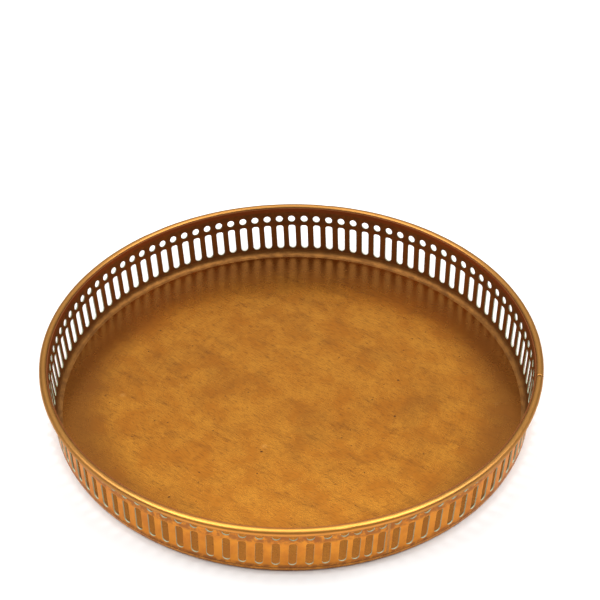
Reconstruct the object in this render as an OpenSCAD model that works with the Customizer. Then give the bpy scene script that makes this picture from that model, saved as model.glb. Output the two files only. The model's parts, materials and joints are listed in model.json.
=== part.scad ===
// Round serving tray of thin copper-toned brass with a low pierced gallery.
// Z is up, the origin is the centre of the underside, and the tray stands on z = 0.
// The front faces -Y. Azimuths are measured from the front and grow towards +X.

/* [Overall] */
// Diameter over the rim bead
tray_d = 310; // [240:1:420]
// Height from the table to the top of the rim bead
tray_h = 38.7; // [36:0.1:60]
// Outward lean of the gallery from the upright, in degrees
flare = 3.95; // [1:0.05:8]

/* [Floor] */
// Thickness of the floor sheet
floor_t = 1.0; // [0.7:0.1:1.6]
// Height of the edge that is turned up under the gallery
edge_h = 3.4; // [3:0.1:4.2]
// Thickness of the turned-up edge
edge_t = 0.9; // [0.7:0.05:1.1]
// Outer radius of the bend under the turned-up edge
bend_r = 1.9; // [1.7:0.1:2.6]
// Depth to which the floor's margin is scraped so that the solder holds
scrape_depth = 0.1; // [0.05:0.01:0.2]

/* [Gallery strip] */
// Thickness of the pierced strip
strip_t = 0.8; // [0.6:0.05:1.2]
// Gap between the strip's foot and the turned-up edge that the solder fills
butt_gap = 0.15; // [0.1:0.05:0.3]
// How far the strip's top edge stands above the middle of the bead
strip_over_bead = 1.2; // [0.8:0.1:1.4]
// Width of the gap between the strip's two ends
strip_gap = 0.4; // [0.2:0.05:0.8]
// Azimuth of the strip's joint
strip_joint_az = 21.25; // [0:0.25:90]

/* [Piercing] */
// Number of slots, each with a dot above it
slot_count = 105; // [90:1:110]
// Width of a slot
slot_w = 4.6; // [3.4:0.1:5]
// Height of a slot
slot_h = 18.3; // [14:0.1:20]
// Corner radius at the top of a slot
slot_top_r = 1.5; // [0.8:0.1:1.6]
// Height of the lowest point of a slot
slot_z = 5.8; // [5.4:0.1:7]
// Diameter of a dot
dot_d = 4.7; // [3:0.1:5]
// Metal left between a slot and its dot
dot_gap = 2.8; // [1.5:0.1:3.2]
// Lean of the slots in the face of the strip, in degrees
slot_lean = 2; // [0:0.1:3]
// Slots at the joint's left that were closed up to fit
tight_slots = 3; // [1:1:5]
// Spacing of the closed-up slots, in degrees
tight_step = 2.9; // [2.8:0.05:3.4]
// Azimuth from the joint to the slots on either side of it
joint_bar_az = 1.75; // [1.5:0.05:2.2]
// How far the spacing drifts from even between front and back, in degrees
spacing_drift = 3.9; // [0:0.1:4.5]

/* [Rim] */
// Diameter of the rim bead
bead_d = 4.9; // [4:0.1:6]
// Thickness of the sheet that the bead is rolled from
bead_t = 0.6; // [0.4:0.05:0.9]
// Gap between the wire in the bead and the strip that the solder fills
wire_gap = 0.25; // [0.2:0.05:0.4]
// Gap between the strip and the lips of the slit in the bead
lip_gap = 0.15; // [0.1:0.05:0.25]
// Width of the gap between the bead's two ends
bead_joint_gap = 0.6; // [0.3:0.1:1]
// Azimuth of the bead's joint
bead_joint_az = 80.6; // [45:0.1:135]

/* [Solder] */
// Radius of the solder cove between floor and gallery
cove_r = 4.3; // [3.4:0.1:4.6]
// How far the solder runs down the strip below the middle of the bead
rim_solder_low = 1.9; // [1.7:0.1:2.2]
// Width of the solder left on the face over the strip's joint
joint_solder_w = 1.6; // [1:0.1:2.4]
// Thickness of the solder left on the face over the strip's joint
joint_solder_t = 0.15; // [0.1:0.05:0.3]
// How far that solder's ends stop short of the turned-up edge and the rim solder
joint_solder_end = 0.3; // [0.1:0.1:1]

/* [Hidden] */
$fn = 180;

copper = [0.80, 0.48, 0.22];
gold_brass = [0.80, 0.58, 0.24];
solder_grey = [0.62, 0.61, 0.54];
iron = [0.40, 0.37, 0.34];

lean_t = tan(flare);
// Radius of the bead's section, height and radius of its middle
bead_r = bead_d / 2;
bead_z = tray_h - bead_r;
bead_mid_r = tray_d / 2 - bead_r;
core_d = bead_d - 2 * bead_t;
// Distance from the middle of the bead's section to the gallery's outer face
strip_reach = core_d / 2 + wire_gap;
// Radius at which the gallery's outer face would meet the table
wall_r0 = bead_mid_r - strip_reach / cos(flare) - bead_z * lean_t;
// Sheet thicknesses as they measure level, across the leaning faces
strip_level_t = strip_t / cos(flare);
edge_level_t = edge_t / cos(flare);
strip_foot_z = edge_h + butt_gap;
strip_top_z = bead_z + strip_over_bead;
// Heights of the two lips of the slit in the bead, which the strip's top edge stands in
low_lip_z = bead_z - sqrt(bead_r * bead_r - pow(strip_reach - lip_gap, 2));
high_lip_z = strip_top_z + lip_gap;
// Radius at the middle of the gallery's height, and degrees in a millimetre there
wall_mid_r = wall_r0 + tray_h / 2 * lean_t;
deg_per_mm = 180 / (PI * wall_mid_r);
strip_gap_az = strip_gap * deg_per_mm;
joint_solder_az = joint_solder_w * deg_per_mm;
bead_joint_gap_az = bead_joint_gap * 180 / (PI * bead_mid_r);
// The front, azimuth 0, is at -90 degrees in the plan
front = -90;
arc_steps = 12;

// Radius at a height of the gallery's outer and inner face, and of the turned-up edge's inner face
function wall_out(z) = wall_r0 + z * lean_t;
function wall_in(z) = wall_out(z) - strip_level_t;
function edge_in(z) = wall_out(z) - edge_level_t;

// Points on an arc about c, from angle a to angle b
function arc(c, r, a, b) =
    [for (i = [0 : arc_steps]) c + r * [cos(a + (b - a) * i / arc_steps), sin(a + (b - a) * i / arc_steps)]];

// Middle of the bend under the turned-up edge, which touches the table and the edge's outer face
bend_c = [wall_out(bend_r) - bend_r / cos(flare), bend_r];
// Inner radius of the bend, and its middle, which touches the floor sheet and the edge's inner face
inner_bend_r = max(bend_r - floor_t, 0.3);
inner_bend_c = [edge_in(floor_t + inner_bend_r) - inner_bend_r / cos(flare), floor_t + inner_bend_r];
// Middle of the cove's hollow face, which touches the floor sheet and the strip's inner face
cove_c = [wall_in(floor_t + cove_r) - cove_r / cos(flare), floor_t + cove_r];
// Corners of the floor's scraped margin, from the bend inwards to the cove's edge
scraped_margin = [
    [inner_bend_c[0], floor_t - scrape_depth],
    [cove_c[0], floor_t - scrape_depth]];

// Azimuths of the slots: even steps with a slow drift round the strip, then the closed-up ones
even_steps = slot_count - 1 - tight_slots;
first_az = strip_joint_az + joint_bar_az;
last_az = strip_joint_az + 360 - joint_bar_az;
even_span = last_az - tight_slots * tight_step - first_az;
function slot_az(i) = i <= even_steps
    ? first_az + even_span * i / even_steps + spacing_drift * sin(360 * i / even_steps)
    : last_az - (slot_count - 1 - i) * tight_step;

// Section of the floor from the axis to the top of its turned-up edge
module floor_section() {
    polygon(concat(
        [[0, 0]],
        arc(bend_c, bend_r, -90, -flare),
        [[wall_out(edge_h), edge_h], [edge_in(edge_h), edge_h]],
        arc(inner_bend_c, inner_bend_r, -flare, -90),
        scraped_margin,
        [[cove_c[0], floor_t], [0, floor_t]]));
}

// Section of the gallery strip, a leaning straight sheet
module strip_section() {
    polygon([
        [wall_in(strip_foot_z), strip_foot_z],
        [wall_out(strip_foot_z), strip_foot_z],
        [wall_out(strip_top_z), strip_top_z],
        [wall_in(strip_top_z), strip_top_z]]);
}

// Section of the solder that joins the strip's foot to the edge and forms the cove inside them
module cove_section() {
    polygon(concat(
        arc(cove_c, cove_r, -90, -flare),
        [[wall_in(strip_foot_z), strip_foot_z], [wall_out(strip_foot_z), strip_foot_z]],
        [[wall_out(edge_h), edge_h], [edge_in(edge_h), edge_h]],
        arc(inner_bend_c, inner_bend_r, -flare, -90),
        scraped_margin));
}

// The slit through the bead's inner side, between its lips
module bead_slit() {
    translate([bead_mid_r - bead_d, low_lip_z])
        square([bead_d, high_lip_z - low_lip_z]);
}

// Section of the bead, a hollow tube with its slit
module bead_section() {
    difference() {
        translate([bead_mid_r, bead_z])
            circle(d = bead_d);
        translate([bead_mid_r, bead_z])
            circle(d = core_d);
        bead_slit();
    }
}

// Section of the solder that fills the slit round the strip and runs down below the bead
module rim_solder_section() {
    low = bead_z - rim_solder_low;
    difference() {
        polygon([
            [wall_out(low), low],
            [bead_mid_r - core_d / 4, low],
            [bead_mid_r - core_d / 4, high_lip_z],
            [wall_out(high_lip_z), high_lip_z]]);
        difference() {
            translate([bead_mid_r, bead_z])
                circle(d = bead_d);
            bead_slit();
        }
        translate([bead_mid_r, bead_z])
            circle(d = core_d);
    }
}

// Section of the solder that is smeared over the strip's joint, from a depth in the joint outwards
module joint_smear_section(depth = 0) {
    low = edge_h + joint_solder_end;
    high = bead_z - rim_solder_low - joint_solder_end;
    polygon([
        [wall_out(low) - depth, low],
        [wall_out(low) + joint_solder_t, low],
        [wall_out(high) + joint_solder_t, high],
        [wall_out(high) - depth, high]]);
}

// One slot with its dot, upright, with the slot's lowest point at the origin
module slot_and_dot() {
    translate([0, slot_w / 2])
        circle(d = slot_w);
    translate([-slot_w / 2, slot_w / 2])
        square([slot_w, slot_h - slot_w / 2 - slot_top_r]);
    translate([slot_top_r - slot_w / 2, slot_h - 2 * slot_top_r])
        square([slot_w - 2 * slot_top_r, 2 * slot_top_r]);
    for (side = [-1, 1])
        translate([side * (slot_w / 2 - slot_top_r), slot_h - slot_top_r])
            circle(r = slot_top_r);
    translate([0, slot_h + dot_gap + dot_d / 2])
        circle(d = dot_d);
}

// The punch for one slot, through the strip at the front
module slot_punch() {
    reach = 2 * (wall_out(tray_h) - wall_in(0));
    translate([0, -wall_in(0) + reach / 4, slot_z])
        rotate([0, slot_lean, 0])
            rotate([90, 0, 0])
                linear_extrude(height = reach)
                    slot_and_dot();
}

// Sweeps a section round the axis from one azimuth over a span of degrees
module sweep_from(az, span) {
    rotate([0, 0, front + az])
        rotate_extrude(angle = span)
            children();
}

module tray_floor() {
    color(gold_brass)
        rotate_extrude()
            floor_section();
}

module gallery_strip() {
    color(copper)
        difference() {
            sweep_from(strip_joint_az + strip_gap_az / 2, 360 - strip_gap_az)
                strip_section();
            for (i = [0 : slot_count - 1])
                rotate([0, 0, slot_az(i)])
                    slot_punch();
        }
}

module gallery_seam_solder() {
    color(solder_grey) {
        sweep_from(strip_joint_az - strip_gap_az / 2, strip_gap_az) {
            strip_section();
            joint_smear_section(depth = strip_level_t / 2);
        }
        sweep_from(strip_joint_az - joint_solder_az / 2, joint_solder_az)
            joint_smear_section();
    }
}

module floor_seam_solder() {
    color(gold_brass)
        rotate_extrude()
            cove_section();
}

module rim_bead() {
    color(copper)
        sweep_from(bead_joint_az + bead_joint_gap_az / 2, 360 - bead_joint_gap_az)
            bead_section();
}

module rim_core_wire() {
    color(iron)
        rotate_extrude()
            translate([bead_mid_r, bead_z])
                circle(d = core_d);
}

module rim_seam_solder() {
    color(solder_grey)
        rotate_extrude()
            rim_solder_section();
}

module rim_joint_solder() {
    color(solder_grey)
        sweep_from(bead_joint_az - bead_joint_gap_az / 2, bead_joint_gap_az)
            bead_section();
}

tray_floor();
gallery_strip();
gallery_seam_solder();
floor_seam_solder();
rim_bead();
rim_core_wire();
rim_seam_solder();
rim_joint_solder();
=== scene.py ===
"""Looks of a round gallery tray made of thin copper-toned brass sheet.

The floor, the pierced gallery, the rolled rim bead and the solder are modelled here around the packed
design, which gives their places and overall sizes. Lengths are in metres and angles in radians, except
where a name ends in _deg. Azimuths are measured from the front, -Y, and grow towards +X.
"""

import json
import logging
import math
import random
from dataclasses import dataclass
from enum import Enum
from typing import Iterable, Optional, Union

import bmesh
import bpy
from bmesh.types import BMesh, BMVert
from mathutils import Matrix, Vector, noise


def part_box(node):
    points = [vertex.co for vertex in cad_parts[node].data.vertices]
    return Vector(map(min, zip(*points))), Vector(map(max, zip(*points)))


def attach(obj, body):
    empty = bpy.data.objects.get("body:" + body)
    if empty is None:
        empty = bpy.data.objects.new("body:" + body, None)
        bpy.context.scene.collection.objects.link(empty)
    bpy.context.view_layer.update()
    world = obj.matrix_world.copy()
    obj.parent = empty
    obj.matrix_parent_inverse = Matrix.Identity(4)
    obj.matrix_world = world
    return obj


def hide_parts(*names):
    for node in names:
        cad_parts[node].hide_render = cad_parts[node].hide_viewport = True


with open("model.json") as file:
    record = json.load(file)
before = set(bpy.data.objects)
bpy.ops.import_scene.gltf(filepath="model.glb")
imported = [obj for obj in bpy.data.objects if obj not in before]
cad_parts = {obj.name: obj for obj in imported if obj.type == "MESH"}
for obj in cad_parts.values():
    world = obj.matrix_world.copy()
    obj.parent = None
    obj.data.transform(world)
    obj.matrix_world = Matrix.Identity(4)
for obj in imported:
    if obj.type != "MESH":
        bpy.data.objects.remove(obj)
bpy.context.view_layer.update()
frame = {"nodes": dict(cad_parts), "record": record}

log = logging.getLogger("gallery_tray")
MM = 0.001
MERGE = 0.01 * MM
FINE_MERGE = 0.002 * MM
BODY = "root"

Colour = tuple[float, float, float]
Socket = bpy.types.NodeSocket
Feed = Union[float, Colour, Socket]
Point = tuple[float, float]
Band = tuple[float, float]
Place = tuple[float, float, float]


# ---------------------------------------------------------------- sizes


@dataclass(frozen=True)
class TraySizes:
    """Sizes that more than one piece needs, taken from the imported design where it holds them."""

    floor_t: float
    edge_h: float
    cove_r: float
    foot_z: float
    top_z: float
    top_out_r: float
    bead_r: float
    bead_mid_r: float
    bead_z: float
    lean: float = math.radians(3.95)
    strip_t: float = 0.8 * MM
    edge_t: float = 0.9 * MM
    bend_r: float = 1.9 * MM
    bead_t: float = 0.6 * MM
    low_lip: float = 1.48 * MM
    high_lip: float = 1.35 * MM
    rim_solder_low: float = 1.9 * MM
    strip_gap: float = 0.4 * MM
    bead_gap: float = 0.6 * MM
    strip_joint_deg: float = 21.25
    bead_joint_deg: float = 80.6

    @classmethod
    def from_frame(cls) -> "TraySizes":
        """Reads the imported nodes' boxes and mounts.

        Returns:
            The sizes that they give.
        """
        floor_z = next(m["pos_m"][2] for m in frame["record"]["mounts"] if m["name"] == "serving_floor")
        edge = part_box("tray_floor")[1]
        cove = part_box("floor_seam_solder")[1]
        strip_low, strip_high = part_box("gallery_strip")
        bead_low, bead_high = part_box("rim_bead")
        bead_r = (bead_high.z - bead_low.z) / 2
        return cls(
            floor_t=floor_z,
            edge_h=edge.z,
            cove_r=(cove.z - floor_z) / (1 - math.sin(cls.lean)),
            foot_z=strip_low.z,
            top_z=strip_high.z,
            top_out_r=strip_high.x,
            bead_r=bead_r,
            bead_mid_r=bead_high.x - bead_r,
            bead_z=bead_low.z + bead_r,
        )

    def wall_out(self, z: float) -> float:
        """Returns the gallery's outer radius at a height."""
        return self.top_out_r - (self.top_z - z) * math.tan(self.lean)

    def wall_in(self, z: float) -> float:
        """Returns the gallery's inner radius at a height."""
        return self.wall_out(z) - self.strip_t / math.cos(self.lean)

    def edge_in(self, z: float) -> float:
        """Returns the turned-up edge's inner radius at a height."""
        return self.wall_out(z) - self.edge_t / math.cos(self.lean)

    def cove_mid(self) -> Point:
        """Returns the middle of the cove's arc, which touches the floor and the wall's inner face."""
        z = self.floor_t + self.cove_r
        return self.wall_in(z) - self.cove_r / math.cos(self.lean), z


# ---------------------------------------------------------------- modelling helpers


def arc(mid: Point, r: float, start_deg: float, end_deg: float, steps: int) -> list[Point]:
    """Returns the points of an arc, both ends included."""
    turns = [math.radians(start_deg + (end_deg - start_deg) * i / steps) for i in range(steps + 1)]
    return [(mid[0] + r * math.cos(t), mid[1] + r * math.sin(t)) for t in turns]


def at_azimuth(r: float, z: float, azimuth: float) -> Vector:
    """Returns the place at a radius, a height and an azimuth."""
    return Vector((r * math.sin(azimuth), -r * math.cos(azimuth), z))


def azimuth_of(place: Vector) -> float:
    """Returns a place's azimuth."""
    return math.atan2(place.x, -place.y)


def radius_of(place: Vector) -> float:
    """Returns a place's distance from the tray's axis."""
    return math.hypot(place.x, place.y)


def ripple(azimuth: float, waves: float, seed: float, rise: float = 0.0) -> float:
    """Smooth noise that closes on itself round the tray.

    Args:
        azimuth: Where round the tray.
        waves: About how many swells there are in one radian.
        seed: Which of many such noises.
        rise: A second coordinate, for noise that also changes across the ring.

    Returns:
        A number between -1 and 1.
    """
    return noise.noise(Vector((waves * math.cos(azimuth) + seed, waves * math.sin(azimuth), seed + rise)))


def window(value: float, low: float, high: float) -> float:
    """Returns 0 at and below low, 1 at and above high, and a smooth step between them."""
    t = min(max((value - low) / (high - low), 0.0), 1.0)
    return t * t * (3 - 2 * t)


def lathe(bm: BMesh, outline: list[Point], steps: int, start: float, span: Optional[float] = None,
          closed: bool = True) -> None:
    """Turns an outline about the tray's axis.

    Args:
        bm: The mesh that the turned shape is added to.
        outline: Radii and heights.
        steps: Segments round the turn.
        start: Azimuth where the turn starts.
        span: Angle of the turn, or None for a full one.
        closed: Whether the outline's last point joins its first.
    """
    verts = [bm.verts.new(at_azimuth(r, z, start)) for r, z in outline]
    edges = [bm.edges.new(pair) for pair in zip(verts, verts[1:])]
    if closed:
        edges.append(bm.edges.new((verts[-1], verts[0])))
    bmesh.ops.spin(bm, geom=verts + edges, cent=(0, 0, 0), axis=(0, 0, 1), dvec=(0, 0, 0),
                   angle=span or math.tau, steps=steps, use_merge=span is None)


def clean(bm: BMesh, merge: float = MERGE) -> None:
    """Closes seams and poles, then turns every face outwards.

    Args:
        bm: The mesh.
        merge: Vertices closer than this become one.
    """
    bmesh.ops.remove_doubles(bm, verts=bm.verts, dist=merge)
    bmesh.ops.dissolve_degenerate(bm, dist=merge / 10, edges=bm.edges)
    bmesh.ops.recalc_face_normals(bm, faces=bm.faces)


def face_away(bm: BMesh, r: float, z: float) -> None:
    """Turns a skin's faces away from a ring about the tray's axis.

    Args:
        bm: The skin, whose faces all point the same way.
        r: The ring's radius, or 0 for the axis.
        z: Its height.
    """
    bm.faces.ensure_lookup_table()
    face = bm.faces[0]
    middle = face.calc_center_median()
    if face.normal.dot(middle - at_azimuth(r, z, azimuth_of(middle))) < 0:
        bmesh.ops.reverse_faces(bm, faces=bm.faces)


def as_object(bm: BMesh, name: str, sharp_deg: float = 40.0) -> bpy.types.Object:
    """Puts a finished mesh into a new object at the origin.

    Args:
        bm: The mesh, which is freed.
        name: The object's name.
        sharp_deg: Edges that turn by more than this stay sharp.

    Returns:
        The new object.
    """
    for face in bm.faces:
        face.smooth = True
    mesh = bpy.data.meshes.new(name)
    bm.to_mesh(mesh)
    bm.free()
    mesh.set_sharp_from_angle(angle=math.radians(sharp_deg))
    piece = bpy.data.objects.new(name, mesh)
    bpy.context.scene.collection.objects.link(piece)
    return piece


def thicken(piece: bpy.types.Object, thickness: float) -> None:
    """Gives a skin its sheet thickness, inwards from its faces.

    Args:
        piece: The skin.
        thickness: The sheet's thickness.
    """
    wall = piece.modifiers.new("thickness", "SOLIDIFY")
    wall.thickness = thickness
    wall.offset = -1
    wall.use_even_offset = True


def ease(piece: bpy.types.Object, width: float) -> None:
    """Rounds a piece's sharp edges a little.

    Args:
        piece: The piece.
        width: How wide the rounding is.
    """
    bevel = piece.modifiers.new("eased edges", "BEVEL")
    bevel.width = width
    bevel.segments = 2
    bevel.limit_method = "ANGLE"
    bevel.angle_limit = math.radians(50)
    bevel.harden_normals = True


def install(piece: bpy.types.Object, node: str, material: bpy.types.Material) -> None:
    """Dresses a piece and lets it stand for a node of the design.

    Args:
        piece: The finished piece.
        node: The node that it replaces.
        material: Its material.
    """
    piece.data.materials.append(material)
    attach(piece, BODY)
    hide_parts(node)
    log.info("%s: %d faces", piece.name, len(piece.data.polygons))


# ---------------------------------------------------------------- finishes


class Shader:
    """One material's nodes, with short forms for the ones that metal finishes use."""

    SCATTER = 0.9
    SPOT_CORE = 0.35

    def __init__(self, name: str) -> None:
        """Makes the material, with its place on the tray as radius, height and direction.

        Args:
            name: The material's name.
        """
        self.material = bpy.data.materials.new(name)
        self.material.use_nodes = True
        self.tree = self.material.node_tree
        self.bsdf = self.tree.nodes["Principled BSDF"]
        self.place = self.node("ShaderNodeTexCoord").outputs["Object"]
        level = self.vector("MULTIPLY", self.place, (1, 1, 0))
        self.outward = self.vector("NORMALIZE", level)
        length = self.node("ShaderNodeVectorMath", operation="LENGTH")
        self.feed(length.inputs[0], level)
        self.radius = length.outputs["Value"]
        split = self.node("ShaderNodeSeparateXYZ")
        self.feed(split.inputs[0], self.place)
        self.height = split.outputs["Z"]

    def node(self, kind: str, **settings: object) -> bpy.types.Node:
        """Adds a node.

        Args:
            kind: Its type.
            **settings: Its own properties.

        Returns:
            The new node.
        """
        node = self.tree.nodes.new(kind)
        for name, value in settings.items():
            setattr(node, name, value)
        return node

    def feed(self, socket: Socket, value: Feed) -> None:
        """Links a socket to another, or sets its number or colour.

        Args:
            socket: The socket that takes the value.
            value: Another socket, a number, a colour or a vector.
        """
        if isinstance(value, bpy.types.NodeSocket):
            self.tree.links.new(value, socket)
        elif isinstance(value, tuple) and socket.type == "RGBA":
            socket.default_value = (*value, 1.0)
        else:
            socket.default_value = value

    def vector(self, operation: str, a: Feed, b: Feed = (0.0, 0.0, 0.0)) -> Socket:
        """Works out a vector from two others.

        Args:
            operation: What is done with them.
            a: The first one.
            b: The second one.

        Returns:
            The vector's socket.
        """
        node = self.node("ShaderNodeVectorMath", operation=operation)
        self.feed(node.inputs[0], a)
        self.feed(node.inputs[1], b)
        return node.outputs["Vector"]

    def math(self, operation: str, a: Feed, b: Feed = 0.0) -> Socket:
        """Works out a number from two others.

        Args:
            operation: What is done with them.
            a: The first one.
            b: The second one.

        Returns:
            The number's socket.
        """
        node = self.node("ShaderNodeMath", operation=operation)
        self.feed(node.inputs[0], a)
        self.feed(node.inputs[1], b)
        return node.outputs[0]

    def times(self, a: Feed, b: Feed) -> Socket:
        """Returns the product of two numbers."""
        return self.math("MULTIPLY", a, b)

    def plus(self, a: Feed, b: Feed) -> Socket:
        """Returns the sum of two numbers."""
        return self.math("ADD", a, b)

    def minus(self, a: Feed, b: Feed) -> Socket:
        """Returns the first number less the second."""
        return self.math("SUBTRACT", a, b)

    def step(self, value: Feed, low: float, high: float) -> Socket:
        """A smooth step between two limits.

        Args:
            value: What is looked at.
            low: Where the step starts, at 0.
            high: Where it ends, at 1. This may be the smaller of the two.

        Returns:
            The step's socket.
        """
        node = self.node("ShaderNodeMapRange", interpolation_type="SMOOTHSTEP")
        flip = high < low
        self.feed(node.inputs["Value"], value)
        node.inputs["From Min"].default_value = min(low, high)
        node.inputs["From Max"].default_value = max(low, high)
        node.inputs["To Min"].default_value = 1.0 if flip else 0.0
        node.inputs["To Max"].default_value = 0.0 if flip else 1.0
        return node.outputs["Result"]

    def mix(self, share: Feed, a: Feed, b: Feed) -> Socket:
        """Mixes two colours.

        Args:
            share: How much of colour b is taken, from 0 to 1.
            a: The colour underneath.
            b: The colour on top.

        Returns:
            The mixed colour's socket.
        """
        node = self.node("ShaderNodeMix", data_type="RGBA", blend_type="MIX")
        self.feed(node.inputs["Factor"], share)
        colours = [s for s in node.inputs if s.type == "RGBA"]
        self.feed(colours[0], a)
        self.feed(colours[1], b)
        return next(s for s in node.outputs if s.type == "RGBA")

    def noise(self, scale: float, detail: float = 2.0, rough: float = 0.5, at: Optional[Socket] = None,
              distortion: float = 0.0) -> Socket:
        """Cloudy noise.

        Args:
            scale: Clouds in a metre, or in one unit of the vector.
            detail: How many finer layers it has.
            rough: How strong they are.
            at: The vector that it follows, or None for the place on the tray.
            distortion: How much the clouds are pulled about.

        Returns:
            A socket with numbers from 0 to 1.
        """
        node = self.node("ShaderNodeTexNoise")
        self.feed(node.inputs["Vector"], at or self.place)
        node.inputs["Scale"].default_value = scale
        node.inputs["Detail"].default_value = detail
        node.inputs["Roughness"].default_value = rough
        node.inputs["Distortion"].default_value = distortion
        return node.outputs[0]

    def lathe_place(self, waves: float, rise: Feed, stretch: float) -> Socket:
        """A vector that closes on itself round the tray.

        Args:
            waves: How fast it changes round the tray.
            rise: What it also follows, such as the radius.
            stretch: How fast it changes with that.

        Returns:
            The vector's socket.
        """
        ring = self.vector("MULTIPLY", self.outward, (waves, waves, 0))
        climb = self.node("ShaderNodeCombineXYZ")
        self.feed(climb.inputs["Z"], self.math("MULTIPLY", rise, stretch))
        return self.vector("ADD", ring, climb.outputs[0])

    def turned(self, angle: float) -> Socket:
        """The place, in axes that are turned about the tray's axis.

        Args:
            angle: How far they are turned.

        Returns:
            The place's socket.
        """
        node = self.node("ShaderNodeVectorRotate", rotation_type="Z_AXIS")
        self.feed(node.inputs["Vector"], self.place)
        node.inputs["Angle"].default_value = angle
        return node.outputs["Vector"]

    def spots(self, scale: float, radius: float, share: float) -> Socket:
        """Round spots scattered over the surface.

        Args:
            scale: Cells in a metre, each with one spot at the most.
            radius: The spots' radius in metres, at which they have faded out.
            share: The share of the cells that have a spot.

        Returns:
            1 in a spot's middle and 0 outside the spots.
        """
        node = self.node("ShaderNodeTexVoronoi", feature="F1")
        self.feed(node.inputs["Vector"], self.place)
        node.inputs["Scale"].default_value = scale
        node.inputs["Randomness"].default_value = self.SCATTER
        chosen = self.node("ShaderNodeSeparateColor")
        self.feed(chosen.inputs[0], node.outputs["Color"])
        near = self.step(node.outputs["Distance"], radius * scale, radius * scale * self.SPOT_CORE)
        return self.math("MULTIPLY", near, self.math("LESS_THAN", chosen.outputs[0], share))

    def bump(self, height: Feed, depth: float) -> None:
        """Presses a pattern into the surface.

        Args:
            height: The pattern, from 0 to 1.
            depth: How deep it goes, in metres.
        """
        node = self.node("ShaderNodeBump")
        node.inputs["Distance"].default_value = depth
        self.feed(node.inputs["Height"], height)
        self.feed(self.bsdf.inputs["Normal"], node.outputs[0])

    def tint_edges(self, tint: Colour) -> None:
        """Tints what the metal reflects where it is seen at a low angle."""
        self.bsdf.inputs["Specular Tint"].default_value = (*tint, 1.0)

    def finish(self, colour: Feed, roughness: Feed, metallic: Feed = 1.0) -> bpy.types.Material:
        """Wires the shader.

        Args:
            colour: The base colour.
            roughness: How dull the surface is.
            metallic: 1 for bare metal, and less under residue.

        Returns:
            The material.
        """
        self.feed(self.bsdf.inputs["Base Color"], colour)
        self.feed(self.bsdf.inputs["Roughness"], roughness)
        self.feed(self.bsdf.inputs["Metallic"], metallic)
        return self.material


@dataclass(frozen=True)
class FloorFinish:
    """Satin golden brass with blotches, fine turning streaks and small dark pits."""

    sizes: TraySizes
    gold: Colour = (0.69, 0.278, 0.034)
    orange: Colour = (0.52, 0.180, 0.020)
    brown: Colour = (0.25, 0.088, 0.017)
    pit: Colour = (0.06, 0.026, 0.012)
    halo: Colour = (0.80, 0.37, 0.085)
    outside: Colour = (0.64, 0.270, 0.050)
    stain: Colour = (0.32, 0.105, 0.030)
    grain_turn: float = math.radians(38)
    tarnish_share: float = 0.42
    streak_share: float = 0.30
    halo_share: float = 0.35
    pit_share: float = 0.9
    # insets from the cove of the ring of painted shade on the floor
    wall_shade: Band = (38 * MM, 8 * MM)
    wall_shade_share: float = 0.80
    edge_share: float = 0.62
    seam_width: float = 0.7 * MM
    seam_share: float = 0.6
    pit_depth: float = 0.05 * MM

    def build(self) -> bpy.types.Material:
        """Makes the finish.

        Returns:
            The material.
        """
        s = Shader("floor_brass")
        blotches = s.noise(48, 4, 0.6, distortion=0.3)
        colour = s.mix(s.step(blotches, 0.30, 0.70), self.gold, self.orange)
        tarnish = s.step(s.noise(19, 5, 0.62, distortion=0.3), 0.46, 0.76)
        colour = s.mix(s.times(tarnish, self.tarnish_share), colour, self.brown)
        turning = s.noise(1.0, 3, 0.6, s.lathe_place(9, s.radius, 2600))
        grain = s.noise(1.0, 4, 0.65, s.vector("MULTIPLY", s.turned(self.grain_turn), (210, 1300, 1)))
        worn_along = s.noise(1.0, 3, 0.6, s.vector("MULTIPLY", s.turned(self.grain_turn), (34, 120, 1)))
        fine = s.times(s.step(grain, 0.48, 0.70), 2.2)
        streaks = s.plus(s.step(turning, 0.45, 0.72), fine)
        streaks = s.plus(streaks, s.step(worn_along, 0.50, 0.72))
        colour = s.mix(s.times(streaks, self.streak_share), colour, self.brown)
        halos = s.spots(55, 2.6 * MM, 0.20)
        pits = s.math("MAXIMUM", s.spots(50, 1.4 * MM, 0.45), s.spots(140, 0.75 * MM, 0.34))
        colour = s.mix(s.times(halos, self.halo_share), colour, self.halo)
        colour = s.mix(s.times(pits, self.pit_share), colour, self.pit)
        # painted shade: the floor is darker brown in a ring next to the cove, and the turned-up edge is
        # coloured like the gallery
        starts, ends = (self.sizes.cove_mid()[0] - inset for inset in self.wall_shade)
        wall_shade = s.times(s.step(s.radius, starts, ends), self.wall_shade_share)
        colour = s.mix(wall_shade, colour, self.brown)
        outer = s.step(s.radius, self.sizes.wall_out(0) - 1.2 * MM, self.sizes.wall_out(0) - 0.6 * MM)
        stained = s.times(s.step(s.noise(260, 4, 0.7), 0.40, 0.62), self.edge_share)
        worn = s.mix(stained, self.outside, self.stain)
        top = self.sizes.edge_h
        seam = s.times(s.step(s.height, top - self.seam_width, top), self.seam_share)
        worn = s.mix(seam, worn, self.stain)
        colour = s.mix(outer, colour, worn)
        roughness = s.plus(0.20, s.times(blotches, 0.14))
        roughness = s.plus(roughness, s.times(pits, 0.3))
        height = s.plus(s.times(turning, 0.5), s.times(grain, 0.4))
        s.bump(s.minus(height, pits), self.pit_depth)
        return s.finish(colour, roughness)


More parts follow.
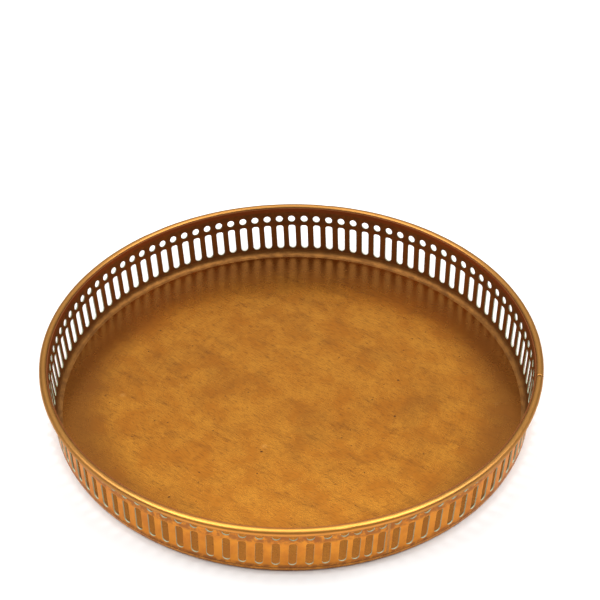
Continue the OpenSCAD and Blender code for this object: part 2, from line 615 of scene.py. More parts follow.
@dataclass(frozen=True)
class GalleryFinish:
    """Copper-toned brass, stained above the slots and along the foot, with painted shade on the inner face
    and along the strip's top, and pale grey-green painted on the walls of the slots and dots for the bright
    reflection that they catch.
    """

    sizes: TraySizes
    face: Colour = (0.68, 0.256, 0.033)
    rosy: Colour = (0.57, 0.195, 0.029)
    stain: Colour = (0.27, 0.092, 0.030)
    # painted reflection: the pale grey-green of the walls of the slots and dots
    cut: Colour = (0.38, 0.41, 0.28)
    # painted shade on the wall's inner face
    inside: Colour = (0.155, 0.080, 0.030)
    edge_tint: Colour = (0.93, 0.79, 0.68)
    foot_band: Band = (7 * MM, 4.5 * MM)
    dot_band: Band = (13.5 * MM, 10.5 * MM)
    slit_band: Band = (2 * MM, 1 * MM)
    inner_face: Band = (0.5 * MM, 0.7 * MM)
    stain_share: float = 0.85
    inner_shade_share: float = 0.82
    pale_edge_share: float = 0.85
    mark_depth: float = 0.04 * MM

    def build(self) -> bpy.types.Material:
        """Makes the finish.

        Returns:
            The material.
        """
        s = Shader("gallery_copper")
        clouds = s.noise(90, 3, 0.6)
        colour = s.mix(s.step(clouds, 0.40, 0.68), self.face, self.rosy)
        blots = s.noise(260, 4, 0.65)
        low = s.step(s.height, *self.foot_band)
        high = s.step(s.height, *(self.sizes.bead_z - below for below in self.dot_band))
        band = s.math("MAXIMUM", low, high)
        stained = s.times(band, s.step(blots, 0.34, 0.56))
        colour = s.mix(s.times(stained, self.stain_share), colour, self.stain)
        # painted shade: the wall's inner face is darkened
        mid_r = s.times(s.height, math.tan(self.sizes.lean))
        depth = s.minus(s.radius, mid_r)
        inner = s.step(depth, *(self.sizes.wall_out(0) - inset for inset in self.inner_face))
        colour = s.mix(s.times(inner, self.inner_shade_share), colour, self.inside)
        # painted shade: a dark band along the strip's top, just under the bead
        slit_low, slit_high = (self.sizes.bead_z - below for below in self.slit_band)
        in_slit = s.step(s.height, slit_low, slit_high)
        colour = s.mix(in_slit, colour, self.stain)
        # painted reflection: the walls of the slots and dots are pale grey-green and less metallic, for the
        # bright reflection that they catch
        cut = self.cut_share(s)
        colour = s.mix(cut, colour, self.cut)
        roughness = s.plus(0.27, s.times(clouds, 0.16))
        roughness = s.plus(roughness, s.times(s.math("MAXIMUM", inner, cut), 0.25))
        bare_metal = s.minus(1.0, s.times(cut, self.pale_edge_share))
        scratches = s.noise(1.0, 2, 0.6, s.lathe_place(30, s.height, 5200))
        marks = s.plus(s.times(blots, 0.5), s.times(scratches, 0.5))
        s.bump(marks, self.mark_depth)
        s.tint_edges(self.edge_tint)
        return s.finish(colour, roughness, bare_metal)

    def cut_share(self, s: Shader) -> Socket:
        """Finds the walls of the slots and dots, where the surface faces along the sheet.

        Args:
            s: The material that is being made.

        Returns:
            A socket that is 1 on those walls and 0 elsewhere.
        """
        facing = s.node("ShaderNodeNewGeometry").outputs["True Normal"]
        dot = s.node("ShaderNodeVectorMath", operation="DOT_PRODUCT")
        s.feed(dot.inputs[0], facing)
        s.feed(dot.inputs[1], s.outward)
        along = s.step(s.math("ABSOLUTE", dot.outputs["Value"]), 0.85, 0.35)
        slit_low, slit_high = (self.sizes.bead_z - below for below in self.slit_band)
        return s.times(along, s.step(s.height, slit_high, slit_low))


@dataclass(frozen=True)
class RimFinish:
    """Handled brass, gold on top and rosy outside, partly patina and partly a painted highlight, with random
    dark streaks, and painted shade underneath, on the inner side and away from the front.
    """

    sizes: TraySizes
    gold: Colour = (0.80, 0.38, 0.075)
    rosy: Colour = (0.62, 0.245, 0.048)
    # painted shade on the bead's sides away from the front
    dull: Colour = (0.35, 0.160, 0.044)
    # random dark streaks, and painted shade under the bead and on its inner side
    tarnish_and_shade: Colour = (0.25, 0.120, 0.032)
    edge_tint: Colour = (0.92, 0.79, 0.64)
    side_shade_share: float = 0.85
    under_shade_share: float = 0.75
    mark_depth: float = 0.03 * MM

    def build(self) -> bpy.types.Material:
        """Makes the finish.

        Returns:
            The material.
        """
        s = Shader("rim_brass")
        up = s.minus(s.height, self.sizes.bead_z)
        out = s.minus(s.radius, self.sizes.bead_mid_r)
        turn = s.math("ARCTAN2", up, out)
        drawn = s.noise(1.0, 3, 0.6, s.lathe_place(14, turn, 9))
        # gold on top and rosy further out and down: partly patina and partly a painted highlight on top
        band_turn = s.plus(turn, s.times(drawn, 0.5))
        colour = s.mix(s.step(band_turn, 1.5, 0.7), self.gold, self.rosy)
        # painted shade: the bead is darker away from the front
        front = s.node("ShaderNodeSeparateXYZ")
        s.feed(front.inputs[0], s.outward)
        off_front = s.plus(front.outputs["Y"], s.times(drawn, 0.12))
        colour = s.mix(s.times(s.step(off_front, -0.93, -0.70), self.side_shade_share), colour, self.dull)
        colour = s.mix(s.times(s.step(drawn, 0.5, 0.75), 0.35), colour, self.tarnish_and_shade)
        # painted shade under the bead
        under = s.step(turn, 0.1, -0.9)
        colour = s.mix(s.times(under, self.under_shade_share), colour, self.tarnish_and_shade)
        # painted shade on the bead's inner side, next to the strip's top
        inner = s.times(s.step(out, -1.9 * MM, -2.3 * MM), s.step(up, 1.6 * MM, 0.8 * MM))
        colour = s.mix(s.times(inner, 0.8), colour, self.tarnish_and_shade)
        roughness = s.plus(0.32, s.times(s.noise(120, 3, 0.6), 0.16))
        s.bump(s.noise(420, 3, 0.6), self.mark_depth)
        s.tint_edges(self.edge_tint)
        return s.finish(colour, roughness)


@dataclass(frozen=True)
class CoveFinish:
    """Wiped braze, orange brown and cloudy."""

    light: Colour = (0.28, 0.122, 0.031)
    dark: Colour = (0.18, 0.074, 0.021)

    def build(self) -> bpy.types.Material:
        """Makes the finish.

        Returns:
            The material.
        """
        s = Shader("cove_solder")
        clouds = s.noise(150, 4, 0.6)
        wiped = s.noise(1.0, 3, 0.6, s.lathe_place(24, s.height, 1500))
        share = s.times(s.plus(clouds, wiped), 0.5)
        colour = s.mix(s.step(share, 0.38, 0.62), self.light, self.dark)
        s.bump(share, 0.12 * MM)
        return s.finish(colour, s.plus(0.46, s.times(clouds, 0.2)))


@dataclass(frozen=True)
class SolderFinish:
    """Dull grainy solder, with painted shade where it lies under the bead."""

    sizes: TraySizes
    pale: Colour = (0.50, 0.215, 0.050)
    dark: Colour = (0.36, 0.155, 0.042)
    under_bead_shade: Colour = (0.17, 0.080, 0.035)

    def build(self) -> bpy.types.Material:
        """Makes the finish.

        Returns:
            The material.
        """
        s = Shader("solder")
        grain = s.noise(700, 4, 0.65)
        colour = s.mix(s.step(grain, 0.42, 0.66), self.pale, self.dark)
        # painted shade where the solder lies under the bead
        under_bead = s.step(s.height, self.sizes.bead_z - 3 * MM, self.sizes.bead_z - 2 * MM)
        colour = s.mix(under_bead, colour, self.under_bead_shade)
        s.bump(grain, 0.10 * MM)
        return s.finish(colour, s.plus(0.36, s.times(grain, 0.2)), 0.9)


@dataclass(frozen=True)
class CoreWireFinish:
    """Drawn iron wire with a trace of rust."""

    iron: Colour = (0.30, 0.28, 0.26)
    rust: Colour = (0.22, 0.09, 0.04)

    def build(self) -> bpy.types.Material:
        """Makes the finish.

        Returns:
            The material.
        """
        s = Shader("core_wire")
        grain = s.noise(300, 3, 0.6)
        colour = s.mix(s.step(grain, 0.5, 0.7), self.iron, self.rust)
        s.bump(grain, 0.05 * MM)
        return s.finish(colour, s.plus(0.35, s.times(grain, 0.25)))


# ---------------------------------------------------------------- pieces


@dataclass
class FloorPan:
    """The floor sheet with its edge turned up under the gallery's foot and dressed with a hammer."""

    sizes: TraySizes
    steps: int = 720
    ring_pitch: float = 3.0 * MM
    edge_rows: int = 6
    edge_starts: float = 0.4 * MM
    sag: float = 0.12 * MM
    sag_starts_r: float = 141 * MM
    sag_full_r: float = 120 * MM
    lip_r: float = 0.15 * MM
    lip_wander: float = 0.35 * MM
    peen_pitch: float = 1.9 * MM
    peen_depth: float = 0.15 * MM
    peen_slant: float = 0.9
    peen_cuts: int = 3
    peen_foot: Band = (0.9 * MM, 1.7 * MM)
    peen_top: Band = (2.7 * MM, 3.2 * MM)

    def outline(self) -> list[Point]:
        """Draws the sheet's section, from the axis under the floor, round the edge and back on top.

        Returns:
            Radii and heights.
        """
        tray = self.sizes
        lean_deg = math.degrees(tray.lean)
        outer_mid = (tray.wall_out(tray.bend_r) - tray.bend_r / math.cos(tray.lean), tray.bend_r)
        inner_r = tray.bend_r - tray.floor_t
        inner_mid = (tray.edge_in(tray.bend_r) - inner_r / math.cos(tray.lean), tray.bend_r)
        under = [(outer_mid[0] * i / 6, 0.0) for i in range(6)]
        outside = arc(outer_mid, tray.bend_r, -90, -lean_deg, 6)
        bend_top, lip_foot = outside[-1][1], tray.edge_h - self.lip_r
        for i in range(1, self.edge_rows + 1):
            height = bend_top + (lip_foot - bend_top) * i / self.edge_rows
            outside.append((tray.wall_out(height), height))
        lip = arc((outside[-1][0] - self.lip_r, lip_foot), self.lip_r, 30, 90, 2)
        lip.append((tray.edge_in(tray.edge_h), tray.edge_h))
        inside = arc(inner_mid, inner_r, -lean_deg, -90, 4)
        rings = round(inside[-1][0] / self.ring_pitch)
        top = [(inside[-1][0] * (1 - i / rings), tray.floor_t) for i in range(1, rings + 1)]
        return under + outside + lip + inside + top

    def build(self, material: bpy.types.Material) -> None:
        """Builds the pan and installs it.

        Args:
            material: Its finish.
        """
        bm = bmesh.new()
        lathe(bm, self.outline(), self.steps, 0.0, closed=False)
        clean(bm, FINE_MERGE)
        self.subdivide_edge(bm)
        self.press(bm)
        install(as_object(bm, "floor_pan"), "tray_floor", material)

    def on_edge(self, vert: BMVert) -> bool:
        """Tells whether a vertex is on the outer face of the turned-up edge.

        Args:
            vert: The vertex.

        Returns:
            Whether it is.
        """
        tray = self.sizes
        middle = tray.wall_out(vert.co.z) - tray.edge_t / 2
        return vert.co.z > self.edge_starts and radius_of(vert.co) > middle

    def subdivide_edge(self, bm: BMesh) -> None:
        """Splits the turned-up edge finely enough to take the peening marks.

        Args:
            bm: The pan's mesh.
        """
        round_it = [e for e in bm.edges if all(self.on_edge(v) for v in e.verts)
                    and abs(e.verts[0].co.z - e.verts[1].co.z) < MERGE]
        bmesh.ops.subdivide_edges(bm, edges=round_it, cuts=self.peen_cuts, use_grid_fill=True)

    def press(self, bm: BMesh) -> None:
        """Gives the floor its slight sag and swells, and the edge its wandering lip and peening marks.

        Args:
            bm: The pan's mesh.
        """
        tray = self.sizes
        for vert in bm.verts:
            r, az, height = radius_of(vert.co), azimuth_of(vert.co), vert.co.z
            if height > tray.floor_t - MERGE and r < tray.wall_in(tray.floor_t) - tray.cove_r:
                swell = noise.noise(Vector((vert.co.x * 28, vert.co.y * 28, 4.0)))
                swell += 0.4 * noise.noise(Vector((vert.co.x * 75, vert.co.y * 75, 9.0)))
                fade = 1 - window(r, self.sag_full_r, self.sag_starts_r)
                vert.co.z -= self.sag * fade * (0.5 + 0.5 * swell)
            elif self.on_edge(vert):
                top = window(height, 0.6 * tray.edge_h, tray.edge_h)
                vert.co.z -= top * self.lip_wander * (0.5 + 0.5 * ripple(az, 60, 2.0))
                vert.co -= at_azimuth(self.peen_depth * self.peening(az, height), 0.0, az)

    def peening(self, az: float, height: float) -> float:
        """Works out how deep the edge is struck at a place.

        Args:
            az: The place's azimuth.
            height: Its height.

        Returns:
            A number from 0 to 1.
        """
        tray = self.sizes
        turns = (az * tray.wall_out(tray.edge_h) + self.peen_slant * height) / self.peen_pitch
        turns += 0.6 * ripple(az, 25, 7.0)
        stroke = max(0.0, math.cos(math.tau * turns)) ** 1.5
        strength = 0.25 + 0.75 * window(ripple(az, 5, 11.0), -0.25, 0.25)
        middle = window(height, *self.peen_foot) * (1 - window(height, *self.peen_top))
        return stroke * strength * middle


@dataclass
class Gallery:
    """The pierced strip: a slot with a dot above it, repeated round the tray."""

    sizes: TraySizes
    slot_count: int = 105
    slot_w: float = 4.6 * MM
    slot_h: float = 18.3 * MM
    slot_top_r: float = 1.5 * MM
    slot_z: float = 5.8 * MM
    dot_d: float = 4.7 * MM
    dot_gap: float = 2.8 * MM
    slot_lean: float = math.radians(2)
    tight_slots: int = 3
    tight_step_deg: float = 2.9
    joint_bar_deg: float = 1.75
    spacing_drift_deg: float = 3.9
    edge_bevel: float = 0.13 * MM
    hand_error: float = 0.08 * MM
    swell: float = 0.12 * MM

    def azimuths(self) -> list[float]:
        """Spaces the slots in even steps with a slow drift, and then the closed-up ones.

        Returns:
            Their azimuths, from the joint round to it again.
        """
        joint = self.sizes.strip_joint_deg
        first = joint + self.joint_bar_deg
        last = joint + 360 - self.joint_bar_deg
        even = self.slot_count - 1 - self.tight_slots
        span = last - self.tight_slots * self.tight_step_deg - first
        found = [first + span * i / even + self.spacing_drift_deg * math.sin(math.tau * i / even)
                 for i in range(even + 1)]
        found += [last - i * self.tight_step_deg for i in range(self.tight_slots - 1, -1, -1)]
        return [math.radians(a) for a in found]

    def slot_outline(self) -> list[Point]:
        """Draws a slot from its lower left, with a round foot and small top corners.

        Returns:
            Its outline, as places beside its middle line and heights.
        """
        half, top = self.slot_w / 2, self.slot_z + self.slot_h
        foot, shoulder = self.slot_z + half, top - self.slot_top_r
        third = (shoulder - foot) / 3
        corner = half - self.slot_top_r
        right = [(half, foot + third), (half, foot + 2 * third)]
        right += arc((corner, shoulder), self.slot_top_r, 0, 90, 3)
        left = [(-x, z) for x, z in reversed(right)]
        bottom = arc((0, foot), half, 225, 360, 6)
        return bottom + right + [(0, top)] + left + arc((0, foot), half, 180, 202.5, 1)

    def slot_frame(self, low: float, high: float) -> list[Point]:
        """Draws the cell's frame round a slot, point for point.

        Args:
            low: The frame's lower height.
            high: Its upper height.

        Returns:
            Its points, with x as a share of half the cell.
        """
        half = self.slot_w / 2
        foot, shoulder = self.slot_z + half, self.slot_z + self.slot_h - self.slot_top_r
        third = (shoulder - foot) / 3
        side = [(low + foot) / 2, foot, foot + third, foot + 2 * third, shoulder, (shoulder + high) / 2]
        return self.cell_frame(low, side, high)

    def dot_frame(self, low: float, high: float) -> list[Point]:
        """Returns the cell's frame round a dot, point for point."""
        return self.cell_frame(low, [low + (high - low) * share for share in (0.25, 0.5, 0.75)], high)

    def cell_frame(self, low: float, side: list[float], high: float) -> list[Point]:
        """Draws the frame of one cell of the strip.

        Args:
            low: The frame's lower height.
            side: Heights of the points on its sides, upwards.
            high: Its upper height.

        Returns:
            Its points from the lower left, with x as a share of half the cell.
        """
        across = [-1, -0.5, 0, 0.5, 1]
        right = [(x, low) for x in across] + [(1, z) for z in side]
        return right + [(x, high) for x in reversed(across)] + [(-1, z) for z in reversed(side)]

    def on_wall(self, x: float, z: float, azimuth: float) -> Vector:
        """Puts a point on the wall's outer face.

        Args:
            x: How far it is from the slot's middle line.
            z: Its height.
            azimuth: The slot's azimuth.

        Returns:
            Its place.
        """
        r = self.sizes.wall_out(z)
        leaned = x + (z - self.slot_z) * math.tan(self.slot_lean)
        return at_azimuth(r, z, azimuth + math.asin(leaned / r))

    def add_hole(self, bm: BMesh, azimuth: float, halves: tuple[float, float], outline: list[Point],
                 frame_points: list[Point], slip: Point) -> None:
        """Adds one hole with the sheet round it, out to the cell's frame.

        Args:
            bm: The strip's mesh.
            azimuth: The slot's azimuth.
            halves: The angles from there to the cell's left and right border.
            outline: The hole's outline.
            frame_points: The frame's points, one for each of the outline's.
            slip: How far this hole is off its mark.
        """
        ring = bmesh.ops.create_circle(bm, segments=len(outline), radius=self.slot_w)["verts"]
        mark = {vert: i for i, vert in enumerate(ring)}
        edges = list({edge for vert in ring for edge in vert.link_edges})
        grown = bmesh.ops.extrude_edge_only(bm, edges=edges)["geom"]
        for vert in (g for g in grown if isinstance(g, BMVert)):
            inner = next(e.other_vert(vert) for e in vert.link_edges if e.other_vert(vert) in mark)
            share, z = frame_points[mark[inner]]
            vert.co = self.on_wall(0, z, azimuth + share * halves[share > 0])
        for vert, i in mark.items():
            vert.co = self.on_wall(outline[i][0] + slip[0], outline[i][1] + slip[1], azimuth)

    def build(self, material: bpy.types.Material) -> None:
        """Builds the strip and installs it.

        Args:
            material: Its finish.
        """
        tray = self.sizes
        dot_z = self.slot_z + self.slot_h + self.dot_gap + self.dot_d / 2
        split = dot_z - (self.dot_d + self.dot_gap) / 2
        slot, dot = self.slot_outline(), arc((0, dot_z), self.dot_d / 2, 225, 562.5, 15)
        slot_frame, dot_frame = self.slot_frame(tray.foot_z, split), self.dot_frame(split, tray.top_z)
        azimuths = self.azimuths()
        end = tray.strip_gap / 2 / tray.wall_out(tray.top_z / 2)
        joint = math.radians(tray.strip_joint_deg)
        middles = [(a + b) / 2 for a, b in zip(azimuths, azimuths[1:])]
        borders = [joint + end, *middles, joint + math.tau - end]
        hand = random.Random(5)
        bm = bmesh.new()
        for i, azimuth in enumerate(azimuths):
            halves = (azimuth - borders[i], borders[i + 1] - azimuth)
            for outline, frame_points in ((slot, slot_frame), (dot, dot_frame)):
                slip = (hand.gauss(0, self.hand_error), hand.gauss(0, self.hand_error))
                self.add_hole(bm, azimuth, halves, outline, frame_points, slip)
        clean(bm)
        face_away(bm, 0.0, tray.top_z / 2)
        self.wave(bm)
        piece = as_object(bm, "pierced_gallery")
        thicken(piece, tray.strip_t)
        ease(piece, self.edge_bevel)
        install(piece, "gallery_strip", material)

    def wave(self, bm: BMesh) -> None:
        """Lets the strip swell slightly between its soldered edges.

        Args:
            bm: The strip's mesh.
        """
        tray = self.sizes
        for vert in bm.verts:
            share = (vert.co.z - tray.foot_z) / (tray.top_z - tray.foot_z)
            az = azimuth_of(vert.co)
            out = self.swell * math.sin(math.pi * share) * ripple(az, 8, 3.0)
            vert.co += at_azimuth(out, 0.0, az)


@dataclass
class CoveSolder:
    """The solder that joins the strip's foot to the edge and runs down to the floor in a hollow cove."""

    sizes: TraySizes
    steps: int = 720
    arc_steps: int = 8
    sink: float = 0.1 * MM
    seam_in: float = 0.06 * MM
    seam_drop: float = 0.4 * MM
    unevenness: float = 0.02
    shrink: float = 0.04
    reach: float = 0.05 * MM

    def build(self, material: bpy.types.Material) -> None:
        """Builds the cove and installs it.

        Args:
            material: Its finish.
        """
        tray = self.sizes
        mid = tray.cove_mid()
        seam_low = tray.edge_h - self.seam_drop
        outline = arc(mid, tray.cove_r, -90, -math.degrees(tray.lean), self.arc_steps)
        outline += [(tray.wall_in(height) + tray.strip_t / 2, height)
                    for height in (mid[1], tray.foot_z + self.sink)]
        outline += [(tray.wall_out(tray.foot_z) - tray.strip_t / 4, tray.foot_z + self.sink)]
        outline += [(tray.wall_out(height) - self.seam_in, height) for height in (tray.foot_z, seam_low)]
        outline += [(tray.wall_out(seam_low) - tray.edge_t / 2, seam_low - self.sink)]
        outline += [(r, tray.floor_t - self.sink) for r in (tray.edge_in(tray.floor_t), mid[0])]
        bm = bmesh.new()
        lathe(bm, outline, self.steps, 0.0)
        clean(bm, FINE_MERGE)
        for vert in bm.verts:
            self.wander(vert)
        install(as_object(bm, "cove_solder"), "floor_seam_solder", material)

    def wander(self, vert: BMVert) -> None:
        """Makes the hollow face a little uneven, so that both of its edges wander.

        Args:
            vert: A vertex of the cove, which stays in place if it is on another face.
        """
        tray = self.sizes
        r, az = radius_of(vert.co), azimuth_of(vert.co)
        if vert.co.z < tray.floor_t - MERGE or r > tray.wall_in(vert.co.z) + self.reach:
            return
        swell = self.unevenness * (ripple(az, 40, 5.0) + 0.6 * ripple(az, 120, 6.0)) - self.shrink
        corner = Vector((tray.wall_in(tray.floor_t), tray.floor_t))
        moved = corner + (Vector((r, vert.co.z)) - corner) * (1 + swell)
        lifted = max(moved.y, tray.floor_t)
        vert.co = at_azimuth(min(moved.x, tray.wall_in(lifted)), lifted, az)


@dataclass
class RimBead:
    """The bead rolled from thin sheet, with a slit along its inner side and an open joint."""

    sizes: TraySizes
    steps: int = 900
    section_steps: int = 28
    swell: float = 0.07 * MM
    dents: int = 26
    dent_depth: float = 0.16 * MM
    dent_length: float = 3.2 * MM
    dent_turn: float = 0.6
    dent_reach: float = 2.5

    def build(self, material: bpy.types.Material) -> None:
        """Builds the bead and installs it.

        Args:
            material: Its finish.
        """
        tray = self.sizes
        gap = tray.bead_gap / tray.bead_mid_r
        start = math.radians(tray.bead_joint_deg) + gap / 2
        bm = bmesh.new()
        low_deg = math.degrees(math.asin(tray.low_lip / tray.bead_r)) - 180
        high_deg = 180 - math.degrees(math.asin(tray.high_lip / tray.bead_r))
        section = arc((tray.bead_mid_r, tray.bead_z), tray.bead_r, low_deg, high_deg, self.section_steps)
        lathe(bm, section, self.steps, start, math.tau - gap, closed=False)
        clean(bm)
        face_away(bm, tray.bead_mid_r, tray.bead_z)
        self.handle(bm)
        piece = as_object(bm, "rolled_bead")
        thicken(piece, tray.bead_t)
        install(piece, "rim_bead", material)

    def handle(self, bm: BMesh) -> None:
        """Gives the bead the swells and small dents of use, always inwards.

        Args:
            bm: The bead's mesh.
        """
        tray = self.sizes
        use = random.Random(12)
        marks = [(use.uniform(0, math.tau), use.uniform(-0.6, 2.0), use.uniform(0.4, 1))
                 for _ in range(self.dents)]
        for vert in bm.verts:
            az = azimuth_of(vert.co)
            mid = at_azimuth(tray.bead_mid_r, tray.bead_z, az)
            spoke = (vert.co - mid).normalized()
            turn = math.atan2(vert.co.z - tray.bead_z, radius_of(vert.co) - tray.bead_mid_r)
            depth = self.swell * (0.5 + 0.5 * ripple(az, 22, 8.0, turn))
            for where, tilt, size in marks:
                off = (az - where + math.pi) % math.tau - math.pi
                along = off * tray.bead_mid_r / self.dent_length
                if abs(along) < self.dent_reach:
                    across = (turn - tilt) / self.dent_turn
                    depth += self.dent_depth * size * math.exp(-along**2 - across**2)
            vert.co -= spoke * depth


@dataclass
class RimSolder:
    """The solder that fills the bead's slit round the strip's top and runs down below the bead."""

    sizes: TraySizes
    steps: int = 720
    sink: float = 0.12 * MM
    lumps: float = 0.15 * MM

    def build(self, material: bpy.types.Material) -> None:
        """Builds the line and installs it.

        Args:
            material: Its finish.
        """
        tray = self.sizes
        bottom, top = tray.bead_z - tray.rim_solder_low, tray.bead_z + tray.high_lip
        reach = math.sqrt(tray.bead_r**2 - tray.rim_solder_low**2)
        core = tray.bead_mid_r - tray.bead_r + tray.bead_t
        outline = [
            (tray.wall_out(bottom) - self.sink, bottom - self.sink),
            (tray.wall_out(bottom) + self.sink, bottom),
            (tray.bead_mid_r - reach + self.sink, bottom),
            (core, tray.bead_z - tray.low_lip / 2),
            (core, tray.bead_z + tray.high_lip / 2),
            (tray.wall_out(top) + self.sink, top - self.sink / 2),
            (tray.wall_out(tray.top_z) - self.sink, tray.top_z - self.sink),
        ]
        bm = bmesh.new()
        lathe(bm, outline, self.steps, 0.0)
        clean(bm, FINE_MERGE)
        for vert in bm.verts:
            az = azimuth_of(vert.co)
            side = 1 if vert.co.z < tray.bead_z - tray.low_lip else 0
            vert.co.z += side * self.lumps * (ripple(az, 55, 4.0) + 0.7 * ripple(az, 160, 5.0))
        install(as_object(bm, "rim_solder_line"), "rim_seam_solder", material)


@dataclass
class StripJointSolder:
    """The solder in the strip's upright joint, smeared over its outer face."""

    sizes: TraySizes
    width: float = 1.6 * MM
    proud: float = 0.08 * MM
    end: float = 0.3 * MM
    fade: float = 1.0 * MM
    edge_sink: float = 0.02 * MM
    columns: int = 8
    rows: int = 80

    def build(self, material: bpy.types.Material) -> None:
        """Builds the joint's solder and installs it.

        Args:
            material: Its finish.
        """
        tray = self.sizes
        bm = bmesh.new()
        bmesh.ops.create_grid(bm, x_segments=self.columns, y_segments=self.rows, size=1.0)
        smear_low, smear_high = tray.edge_h + self.end, tray.bead_z - tray.rim_solder_low - self.end
        joint = math.radians(tray.strip_joint_deg)
        for vert in bm.verts:
            across, height = vert.co.x, tray.foot_z + (vert.co.y + 1) / 2 * (tray.top_z - tray.foot_z)
            smeared = window(height, smear_low, smear_low + self.fade)
            smeared *= 1 - window(height, smear_high - self.fade, smear_high)
            lump = noise.noise(Vector((across, height * 420, 3.0)))
            half = tray.strip_gap / 2 + smeared * (self.width - tray.strip_gap) / 2 * (1 + 0.25 * lump)
            proud = smeared * self.proud * (1 - across**2) * (0.75 + 0.5 * lump)
            r = tray.wall_out(height)
            proud -= self.edge_sink * abs(across)
            vert.co = at_azimuth(r + proud, height, joint + across * half / r)
        clean(bm)
        piece = as_object(bm, "strip_joint_solder")
        if piece.data.polygons[0].normal.dot(at_azimuth(1.0, 0.0, joint)) < 0:
            piece.data.flip_normals()
        thicken(piece, tray.strip_t - 2 * self.edge_sink)
        install(piece, "gallery_seam_solder", material)


@dataclass
class BeadJointSolder:
    """The solder in the bead's joint, a little below the bead's surface."""

    sizes: TraySizes
    below: float = 0.18 * MM
    tuck: float = 0.2 * MM
    lump_depth: float = 0.08 * MM
    steps: int = 6
    section_steps: int = 24

    def build(self, material: bpy.types.Material) -> None:
        """Builds the joint's solder and installs it.

        Args:
            material: Its finish.
        """
        tray = self.sizes
        half = (tray.bead_gap / 2 + self.tuck) / tray.bead_mid_r
        joint = math.radians(tray.bead_joint_deg)
        bm = bmesh.new()
        middle, r = (tray.bead_mid_r, tray.bead_z), tray.bead_r - self.below
        ring = arc(middle, r, 0, 360 * (1 - 1 / self.section_steps), self.section_steps - 1)
        lathe(bm, ring, self.steps, joint - half, 2 * half)
        bmesh.ops.holes_fill(bm, edges=[e for e in bm.edges if e.is_boundary], sides=0)
        clean(bm)
        for vert in bm.verts:
            lump = noise.noise(vert.co * 900)
            mid = at_azimuth(tray.bead_mid_r, tray.bead_z, azimuth_of(vert.co))
            vert.co += (mid - vert.co).normalized() * self.lump_depth * (0.5 + lump)
        install(as_object(bm, "bead_joint_solder"), "rim_joint_solder", material)


# ---------------------------------------------------------------- studio


class Box(Enum):
    """The soft lights, all aimed at the tray: place, width and height in metres, and radiance."""

    BACKDROP = ((0.0, 2.0, 1.35), 3.6, 1.9, 0.56)
    HIGH_BACK = ((0.0, 0.62, 1.72), 0.8, 1.0, 2.6)
    HIGH_LEFT = ((-1.0, -0.1, 1.65), 1.2, 1.2, 6.0)
    HIGH_RIGHT = ((1.0, -0.1, 1.65), 1.2, 1.2, 6.0)
    LEFT = ((-1.9, 0.1, 0.6), 1.2, 1.0, 0.5)
    RIGHT = ((1.9, 0.2, 0.6), 1.2, 1.0, 0.5)


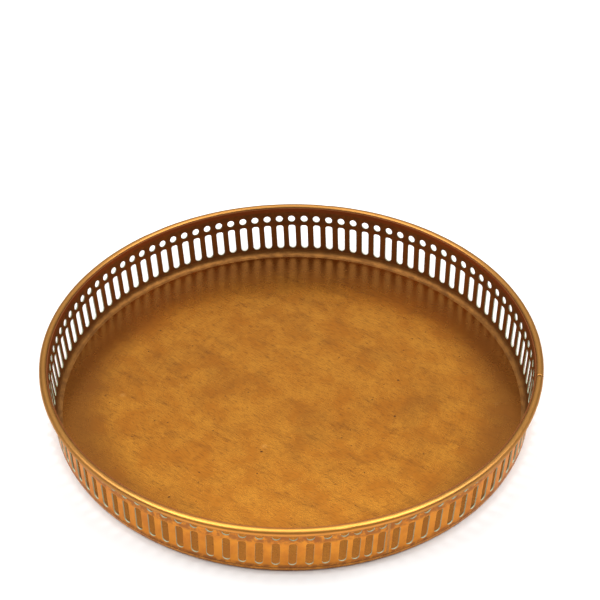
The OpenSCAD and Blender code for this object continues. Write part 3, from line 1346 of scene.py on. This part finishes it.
@dataclass(frozen=True)
class Studio:
    """A plain white floor, soft boxes and a camera that looks down on the tray from the front."""

    floor_size: float = 8.0
    floor_clear: float = 0.05 * MM
    floor_white: float = 0.93
    floor_roughness: float = 0.9
    floor_gloss: float = 0.1
    surround: float = 0.26
    camera_place: Place = (0.0, -0.9048, 0.8121)
    pitch: float = 0.6809
    yaw: float = 0.0061
    roll: float = -0.0060
    lens: float = 115.9
    sensor: float = 36.0

    def build(self) -> None:
        """Builds the floor, the lights and the camera."""
        self.build_floor()
        self.build_surround()
        for box in Box:
            self.build_light(box)
        self.build_camera()
        bpy.context.scene.view_settings.view_transform = "Standard"

    def build_floor(self) -> None:
        """Lays the plain floor."""
        bm = bmesh.new()
        bmesh.ops.create_grid(bm, x_segments=1, y_segments=1, size=self.floor_size / 2)
        bmesh.ops.translate(bm, verts=bm.verts, vec=(0, 0, -self.floor_clear))
        plane = as_object(bm, "studio_floor")
        paper = bpy.data.materials.new("white_paper")
        paper.use_nodes = True
        bsdf = paper.node_tree.nodes["Principled BSDF"]
        bsdf.inputs["Base Color"].default_value = (self.floor_white, self.floor_white, self.floor_white, 1)
        bsdf.inputs["Roughness"].default_value = self.floor_roughness
        bsdf.inputs["Specular IOR Level"].default_value = self.floor_gloss
        plane.data.materials.append(paper)

    def build_surround(self) -> None:
        """Sets the even light that comes from everywhere."""
        world = bpy.data.worlds.new("surround")
        world.use_nodes = True
        background = world.node_tree.nodes["Background"]
        background.inputs["Color"].default_value = (1, 1, 1, 1)
        background.inputs["Strength"].default_value = self.surround
        bpy.context.scene.world = world

    def build_light(self, box: Box) -> None:
        """Hangs one soft box.

        Args:
            box: Which of them.
        """
        place, width, height, radiance = box.value
        lamp = bpy.data.lights.new(box.name.lower(), "AREA")
        lamp.shape = "RECTANGLE"
        lamp.size, lamp.size_y = width, height
        lamp.energy = radiance * math.pi * width * height
        light = bpy.data.objects.new(lamp.name, lamp)
        light.location = place
        light.rotation_euler = (-Vector(place)).to_track_quat("-Z", "Y").to_euler()
        light.visible_camera = False
        bpy.context.scene.collection.objects.link(light)

    def build_camera(self) -> None:
        """Sets up the camera."""
        lens = bpy.data.cameras.new("camera")
        lens.lens, lens.sensor_width = self.lens, self.sensor
        camera = bpy.data.objects.new("camera", lens)
        ahead = Vector((math.sin(self.yaw) * math.cos(self.pitch), math.cos(self.yaw) * math.cos(self.pitch),
                        -math.sin(self.pitch)))
        level = Vector((math.cos(self.yaw), -math.sin(self.yaw), 0))
        upright = level.cross(ahead)
        right = math.cos(self.roll) * level + math.sin(self.roll) * upright
        up = math.cos(self.roll) * upright - math.sin(self.roll) * level
        turn = Matrix((right, up, -ahead)).transposed().to_4x4()
        camera.matrix_world = Matrix.Translation(self.camera_place) @ turn
        bpy.context.scene.collection.objects.link(camera)
        bpy.context.scene.camera = camera


def main() -> None:
    """Builds the studio and the tray's pieces in order."""
    logging.basicConfig(level=logging.INFO, format="%(name)s: %(message)s")
    Studio().build()
    sizes = TraySizes.from_frame()
    solder = SolderFinish(sizes).build()
    FloorPan(sizes).build(FloorFinish(sizes).build())
    Gallery(sizes).build(GalleryFinish(sizes).build())
    CoveSolder(sizes).build(CoveFinish().build())
    RimBead(sizes).build(RimFinish(sizes).build())
    RimSolder(sizes).build(solder)
    StripJointSolder(sizes).build(solder)
    BeadJointSolder(sizes).build(solder)
    core = frame["nodes"]["rim_core_wire"]
    core.data.materials.clear()
    core.data.materials.append(CoreWireFinish().build())
    log.info("%s: kept from the design", core.name)


if __name__ == "__main__":
    main()
